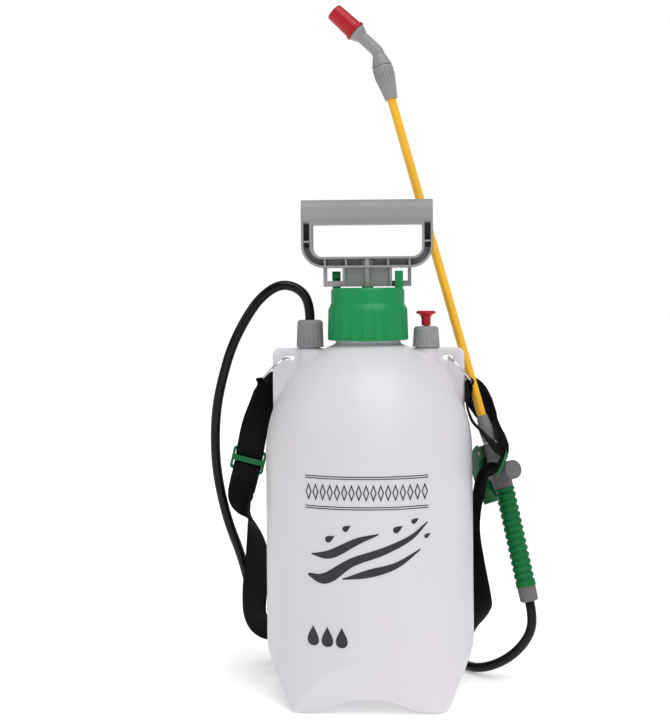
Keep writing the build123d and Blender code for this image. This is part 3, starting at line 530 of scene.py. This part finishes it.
def print_on_front(name, outlines):
    """A thin film of ink in the shape of the outlines, wrapped round the tank's front."""
    curve = bpy.data.curves.new(name, "CURVE")
    curve.dimensions = "2D"
    curve.fill_mode = "BOTH"
    for outline in outlines:
        spline = curve.splines.new("POLY")
        spline.points.add(len(outline) - 1)
        for point, (x, z) in zip(spline.points, outline):
            point.co = (x * MM, z * MM, 0, 1)
        spline.use_cyclic_u = True
    flat = bpy.data.objects.new(name, curve)
    mesh = bpy.data.meshes.new_from_object(flat)
    bpy.data.objects.remove(flat)
    form = bmesh.new()
    form.from_mesh(mesh)
    bmesh.ops.remove_doubles(form, verts=form.verts, dist=0.01 * MM)
    for cut in range(-54, 55, 3):
        everything = form.verts[:] + form.edges[:] + form.faces[:]
        bmesh.ops.bisect_plane(form, geom=everything, plane_co=(cut * MM, 0, 0), plane_no=(1, 0, 0))
    under = TANK_R - 0.25 * MM
    over = TANK_R + 0.12 * MM
    raised = bmesh.ops.extrude_face_region(form, geom=form.faces[:])["geom"]
    top = {v for v in raised if isinstance(v, bmesh.types.BMVert)}
    for vertex in form.verts:
        x, z = vertex.co.x, vertex.co.y
        reach = over if vertex in top else under
        vertex.co = (x, -math.sqrt(reach ** 2 - x ** 2), z)
    bmesh.ops.recalc_face_normals(form, faces=form.faces)
    form.to_mesh(mesh)
    form.free()
    piece = add_piece(name, mesh, INK, "tank")
    mesh.polygons.foreach_set("use_smooth", [False] * len(mesh.polygons))
    return piece


def make_graphics():
    """Two double rules with a row of lozenges between, a spray of drops, and a level mark."""
    rules = [bar(-51, 51, z, z + 0.75) for z in (198.4, 200.2, 173.6, 175.4)]
    print_on_front("print_rules", rules)
    lozenges = []
    for index in range(17):
        x = -48 + 6 * index
        lozenges.append(lozenge(x, 187.5, 2.6, 7.2))
        lozenges.append(lozenge(x, 187.5, 1.6, 4.6))
    print_on_front("print_lozenges", lozenges)
    spray = [
        stroke([(-49, 119), (-34, 117), (-12, 131), (14, 140), (36, 150), (50, 162)], [2, 9, 7, 6, 4, 1]),
        stroke([(-46, 136), (-30, 137), (-8, 148), (10, 154)], [1, 7, 5.5, 1]),
        stroke([(-20, 117), (2, 122), (24, 128), (44, 140)], [1, 6.5, 5, 1]),
    ]
    drops = ((26, 158, 9), (40, 164, 7), (-16, 159, 8), (-30, 150, 9), (50, 151, 6))
    spray += [droplet(x, z, size, -60) for x, z, size in drops]
    print_on_front("print_spray", spray)
    print_on_front("print_level_mark", [droplet(x, 69, 17) for x in (-45, -33, -21)])


# ---------------------------------------------------------------- webbing

LEFT_PLY = [
    ((-90.6, 7.3, 272), (0.5, 0.82, 0.25)),
    ((-92, 8, 264), (0.72, 0.68, 0)),
    ((-94.5, 8, 253), (0.85, 0.45, 0)),
    ((-101.5, 7.5, 232), (0.96, 0.1, -0.1)),
]
LOOP = [
    ((-112, 9, 184), (0.97, 0.1, -0.2)),
    ((-114.5, 12, 172), (0.95, 0.3, -0.05)),
    ((-111.5, 15, 162), (0.6, 0.8, 0)),
    ((-108.5, 17, 155.5), (0.1, 0.99, 0)),
    ((-105.5, 20, 146), (-0.4, 0.9, 0)),
    ((-102.5, 24, 126), (-0.8, 0.6, 0)),
    ((-102.5, 28, 104), (-0.95, 0.3, 0)),
    ((-105.5, 33, 82), (-0.95, 0.3, 0.05)),
    ((-106, 42, 58), (-0.85, 0.45, -0.2)),
    ((-96, 60, 42), (-0.6, 0.1, -0.75)),
    ((-73, 81, 36), (-0.25, 0, -0.96)),
    ((-41, 98, 33), (-0.08, 0, -1)),
    ((0, 106, 31), (0, 0, -1)),
    ((42, 99, 33), (-0.08, 0, -1)),
    ((73, 81, 34), (-0.25, 0.1, -0.95)),
    ((91, 60, 37), (-0.3, -0.55, -0.78)),
    ((95.5, 44, 58), (-0.85, -0.4, -0.05)),
    ((97, 32, 82), (-0.8, 0.55, 0)),
    ((94.3, 22, 110), (-0.6, 0.8, 0)),
    ((93.2, 14, 140), (-0.3, 0.95, 0)),
    ((93.6, 9, 158), (-0.28, 0.95, 0)),
    ((96, 2, 176), (-0.3, 0.93, 0)),
    ((99.5, -8, 188), (-0.25, 0.93, 0.15)),
    ((104, -14.5, 195.5), (-0.1, 0.95, 0.25)),
]
OUTER_PLY = [
    ((89.8, 7.5, 270), (-0.35, 0.2, 1)),
    ((89.6, 14, 267), (-0.25, 0.1, 1)),
    ((87.2, 23, 264.8), (-0.15, 0.1, 1)),
    ((84.6, 32, 264), (-0.15, 0.05, 1)),
    ((84.6, 46, 264.5), (-0.12, 0, 1)),
    ((88, 57, 263.5), (0.2, 0.1, 0.95)),
    ((95, 61.5, 258.5), (0.6, 0, 0.75)),
    ((101.5, 57, 248.5), (0.71, -0.32, 0.6)),
    ((107, 48.5, 238.5), (0.45, -0.48, 0.72)),
    ((113, 38.5, 228.5), (0.08, -0.5, 0.85)),
    ((117, 23, 220.5), (-0.05, -0.4, 0.9)),
    ((118.6, 8, 215.5), (0, -0.28, 0.96)),
    ((119.9, -3, 214.5), (0, -0.28, 0.96)),
    ((120.4, -10.5, 213.4), (0.05, -0.65, 0.76)),
    ((119.8, -15.2, 210.6), (0, -0.93, 0.35)),
    ((117.9, -17.4, 207.4), (-0.15, -0.95, -0.2)),
]
INNER_PLY = [
    ((87, 5, 266), (0.1, 0.97, 0.1)),
    ((85.8, 4, 257), (0.05, 1, 0)),
    ((87.4, 1.5, 246.5), (0.05, 1, 0)),
    ((91.5, -1.5, 237), (0.05, 1, 0)),
    ((99.5, -6, 228.5), (0.05, 1, 0)),
]
LEFT_SLIDER = ((-107.0, 3.2, 203.8), (0.97, 0, -0.24), (-0.2, 0.05, -0.98))
RIGHT_SLIDER = ((115.2, -17.6, 203.5), (0.15, 0.95, 0.25), (-0.42, -0.02, -0.9))
LEFT_FOLD = ((-90.2, 7.4, 275.6), (0.46, 0.85, 0.33))
RIGHT_FOLD = ((89.1, 6, 271.2), (0.1, 0.97, 0.1))
ACROSS = 10
PLY_APART = 1.75
FOLD_R = 2.2
GATHER_LENGTH = 28 * MM


def strap_line(stations, step=0.8 * MM):
    """Centres and width directions along a strap, evenly spaced."""
    centres = catmull([Vector(centre) * MM for centre, width in stations], 40)
    widths = catmull([Vector(width).normalized() for centre, width in stations], 40)
    travelled = np.concatenate([[0], np.cumsum([(b - a).length for a, b in zip(centres, centres[1:])])])
    marks = np.linspace(0, travelled[-1], max(3, round(travelled[-1] / step)))
    even = []
    for values in (centres, widths):
        table = np.array([tuple(v) for v in values])
        columns = [np.interp(marks, travelled, table[:, k]) for k in range(3)]
        even.append([Vector(row) for row in np.stack(columns, axis=1)])
    return even[0], even[1], marks


def strap_frame(centres, widths, index):
    """Across direction and face normal of a strap at one of its centres."""
    run = centres[min(index + 1, len(centres) - 1)] - centres[max(index - 1, 0)]
    run.normalize()
    side = (widths[index] - run * widths[index].dot(run)).normalized()
    return side, run.cross(side)


def strap_piece(name, stations, nodes, gathered=1.0):
    """Woven strap through its stations: thin rounded section, zigzag selvedges, and its own two coordinates.

    A gathered strap has that share of its width at both ends and opens out over a short stretch.
    """
    centres, widths, marks = strap_line(stations)
    rings = []
    for i, centre in enumerate(centres):
        from_end = min(marks[i], marks[-1] - marks[i])
        half = WEBBING_WIDTH / 2 * (gathered + (1 - gathered) * fade(from_end, 0, GATHER_LENGTH))
        side, normal = strap_frame(centres, widths, i)
        tooth = 0.12 * MM if i % 2 else -0.05 * MM
        upper, lower = [], []
        for k in range(ACROSS + 1):
            share = 2 * k / ACROSS - 1
            edge = abs(share) == 1
            reach = share * (half + (tooth if edge else 0))
            thick = WEBBING_THICK / 2 * (0.35 if edge else 1.0)
            upper.append(centre + side * reach + normal * thick)
            lower.append(centre + side * reach - normal * thick)
        rings.append(upper + lower[::-1])
    mesh = loft_mesh(name, rings)
    count = 2 * (ACROSS + 1)
    shares = [k / ACROSS for k in range(ACROSS + 1)]
    shares += shares[::-1]
    layer = mesh.uv_layers.new(name="along")
    for loop in mesh.loops:
        row, k = divmod(loop.vertex_index, count)
        layer.data[loop.index].uv = (shares[k], marks[row])
    piece = add_piece(name, mesh, LOOKS["webbing"], "tank")
    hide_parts(*nodes)


def doubled(stations):
    """The two plies either side of a doubled strap: the one nearer the tank, then the outer one."""
    centres = [Vector(centre) for centre, width in stations]
    inner, outer = [], []
    for index, (centre, width) in enumerate(stations):
        run = centres[min(index + 1, len(centres) - 1)] - centres[max(index - 1, 0)]
        apart = Vector(width).cross(run).normalized() * PLY_APART / 2
        inner.append((centres[index] + apart, width))
        outer.append((centres[index] - apart, width))
    return inner, outer


def folded_over(wire, hangs_to):
    """Stations over a ring's wire, from the tank's side outwards, for a strap hanging towards a point."""
    centre, width = Vector(wire[0]), Vector(wire[1])
    down = (Vector(hangs_to) - centre).normalized()
    inward = width.cross(down).normalized()
    stations = []
    for angle in range(0, 181, 30):
        a = math.radians(angle)
        stations.append((centre + FOLD_R * (math.cos(a) * inward - math.sin(a) * down), wire[1]))
    return stations


def at_slider(slider, places):
    """Stations at places given along a slider and off its plane towards the tank."""
    centre, width, run = (Vector(v) for v in slider)
    inward = width.cross(run).normalized()
    return [(centre + run * along + inward * off, slider[1]) for along, off in places]


def make_stitches(name, stations, rows):
    """Rows of thread across a strap's outer face, at distances along it."""
    centres, widths, marks = strap_line(stations)
    form = bmesh.new()
    for row in rows:
        index = int(np.searchsorted(marks, row))
        side, normal = strap_frame(centres, widths, index)
        surface = centres[index] - normal * (WEBBING_THICK / 2 + 0.05 * MM)
        for stitch in range(-4, 5):
            ends = [surface + side * (stitch * 2.3 + end) * MM for end in (-0.9, 0.9)]
            line = [ends[0] + normal * 0.25 * MM, *ends, ends[1] + normal * 0.25 * MM]
            thread = tube_mesh(name, line, 0.26 * MM, 6)
            form.from_mesh(thread)
            bpy.data.meshes.remove(thread)
    mesh = bpy.data.meshes.new(name)
    form.to_mesh(mesh)
    form.free()
    add_piece(name, mesh, THREAD, "tank")


def make_straps():
    """The strap's four runs, from the left ring's fold round the back to the right ring's."""
    inner, outer = doubled(LEFT_PLY)
    tail = at_slider(LEFT_SLIDER, ((8, 4.6), (0, 4.4), (-9, 3.6)))
    fold = folded_over(LEFT_FOLD, LEFT_PLY[0][0])
    over_bar = at_slider(LEFT_SLIDER, ((-13, -0.8), (-8.8, -2.1), (-5, 0), (-2, 2.0), (0, 2.1)))
    left = tail + inner[::-1] + fold + outer + over_bar
    strap_piece("strap_left", left, ["strap_left_ply"])
    make_stitches("stitches_left", outer, (14 * MM, 17 * MM, 31 * MM, 34 * MM))
    under_bar = at_slider(LEFT_SLIDER, ((0, 2.1), (2, 2.0), (5, 0), (8.8, -2.1), (12, -1.2)))
    loop = under_bar + LOOP + at_slider(RIGHT_SLIDER, ((7, 3.0), (2, 2.1), (-1.5, 2.1)))
    strap_piece("strap_loop", loop, ["shoulder_strap"])
    strap_piece("strap_right_outer", OUTER_PLY, ["strap_right_outer_ply"], 0.4)
    fold = folded_over(RIGHT_FOLD, INNER_PLY[0][0])
    inner = fold[::-1] + INNER_PLY + at_slider(RIGHT_SLIDER, ((-8, 4.5), (-4.5, 2.4), (-1.8, 2.1)))
    strap_piece("strap_right_inner", inner, ["strap_right_inner_ply"])


# ---------------------------------------------------------------- hose

HOSE_START = [
    (-51, 0, 327.6), (-51, 0, 340.5), (-58.5, -0.5, 354.5), (-76, -1, 360), (-94, -1, 348.5),
    (-108, 0, 329), (-120.5, 2, 305), (-129, 6, 279), (-135.5, 10, 252), (-138, 14, 224), (-137.5, 18, 196),
    (-133.5, 23, 168), (-127.5, 30, 141), (-119, 39, 115), (-114, 50, 90), (-110, 64, 64), (-103, 81, 38),
    (-91, 103, 17), (-74, 128, 6.5), (-53, 150, 4.5),
]
HOSE_END = [
    (61.2, 152, 11.4), (64, 133, 7.5), (70, 114, 4.7), (77.2, 95, 4.4), (84.7, 76.5, 4.5), (95, 60, 5.5),
    (108.5, 47.5, 11), (122.8, 36, 21), (135, 26, 35), (142.3, 17.5, 51), (142.6, 14.2, 66.8),
    (140.52, 15.39, 76.88),
]
COIL_CENTRE = Vector((0.010, 0.172))
COIL_R = 0.0515
COIL_STEPS = 16
COIL_LIFT = 0.0004
COIL_WAVER = 0.0008
PASS_SPACING = 2.02


def coil_points():
    """One and a half turns lying on the floor, the second pass over the first."""
    points = []
    last = COIL_STEPS * 3 // 2
    for step in range(last + 1):
        angle = math.pi - 2 * math.pi * step / COIL_STEPS
        climb = min(1.0, max(0.0, (step / COIL_STEPS - 0.5) / 0.5))
        height = HOSE_R + COIL_LIFT + climb * PASS_SPACING * HOSE_R
        reach = COIL_R + COIL_WAVER * math.sin(3 * angle)
        x = COIL_CENTRE.x + reach * math.cos(angle)
        y = COIL_CENTRE.y + reach * math.sin(angle)
        points.append((x, y, height))
    return points


def make_hose():
    """One hose from the outlet nut, through a tied coil behind the tank, to the grip's end nut."""
    start = [Vector(point) * MM for point in HOSE_START]
    end = [Vector(point) * MM for point in HOSE_END]
    route = start + coil_points() + end
    curve = bpy.data.curves.new("hose", "CURVE")
    curve.dimensions = "3D"
    spline = curve.splines.new("NURBS")
    spline.points.add(len(route) - 1)
    for point, place in zip(spline.points, route):
        point.co = (*place, 1)
    spline.order_u = 3
    spline.use_endpoint_u = True
    curve.resolution_u = 8
    line = bpy.data.objects.new("hose_line", curve)
    path_mesh = bpy.data.meshes.new_from_object(line)
    path = [v.co.copy() for v in path_mesh.vertices]
    bpy.data.objects.remove(line)
    piece = add_piece("hose", tube_mesh("hose", path, HOSE_R, 20), LOOKS["black_hose"], None)
    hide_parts("hose_left", "hose_coil", "hose_right")
    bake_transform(piece)


# ---------------------------------------------------------------- rings and springs

LEFT_RING = ((-81.1, 0, 284.2), (-69.8, 0, 294), (0.13, 0.97, -0.12))
RIGHT_RING = ((79.8, 3, 282.6), (70.5, 0, 294), (-0.12, 0.98, -0.08))
RING_R = 15 * MM
RING_WIRE = 0.6 * MM
RING_TURNS = 1.95
RING_STEPS = 120
RING_SPREAD = 2.3
RELIEF_AXIS = (0, 0, 1)
VALVE_AXIS = (0.450, -0.864, 0.227)


def make_split_ring(name, place, node):
    """Steel key ring of two close turns through a lug's slot."""
    centre, slot, across = (Vector(v) for v in place)
    towards = (slot - centre).normalized()
    normal = towards.cross(across).normalized()
    centre = centre * MM
    sideways = normal.cross(towards)
    line = []
    for step in range(RING_STEPS + 1):
        angle = 2 * math.pi * RING_TURNS * step / RING_STEPS
        offset = (step / RING_STEPS - 0.5) * RING_SPREAD * RING_WIRE
        around = math.cos(angle) * towards + math.sin(angle) * sideways
        line.append(centre + RING_R * around + normal * offset)
    wire = tube_mesh(name, line, RING_WIRE, 10)
    piece = add_piece(name, wire, LOOKS["chromed_steel"], "tank")
    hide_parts(node)


def make_spring(name, direction, radius, wire, length, turns, body):
    """Compression spring in its node's place, riding on a body. Millimetres."""
    low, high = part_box(name)
    middle = (low + high) / 2
    axis = Vector(direction).normalized()
    side = axis.orthogonal().normalized()
    other = axis.cross(side)
    steps = 24 * turns
    line = []
    for step in range(steps + 1):
        angle = 2 * math.pi * turns * step / steps
        along = axis * (length - 2 * wire) * MM * (step / steps - 0.5)
        across = radius * MM * (math.cos(angle) * side + math.sin(angle) * other)
        line.append(middle + along + across)
    coil = tube_mesh(name, line, wire * MM, 8)
    piece = add_piece(name + "_coil", coil, LOOKS["spring_steel"], body)
    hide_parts(name)
    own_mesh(piece)


make_camera()
make_studio()
paint_nodes()
make_hose()
make_tank()
make_graphics()
make_straps()
make_split_ring("split_ring_left", LEFT_RING, "strap_ring_left")
make_split_ring("split_ring_right", RIGHT_RING, "strap_ring_right")
make_spring("relief_spring", RELIEF_AXIS, radius=3.4, wire=0.45, length=11.0, turns=5,
            body="tank")
make_spring("valve_spring", VALVE_AXIS, radius=2.4, wire=0.4, length=11.6, turns=6,
            body="gun")
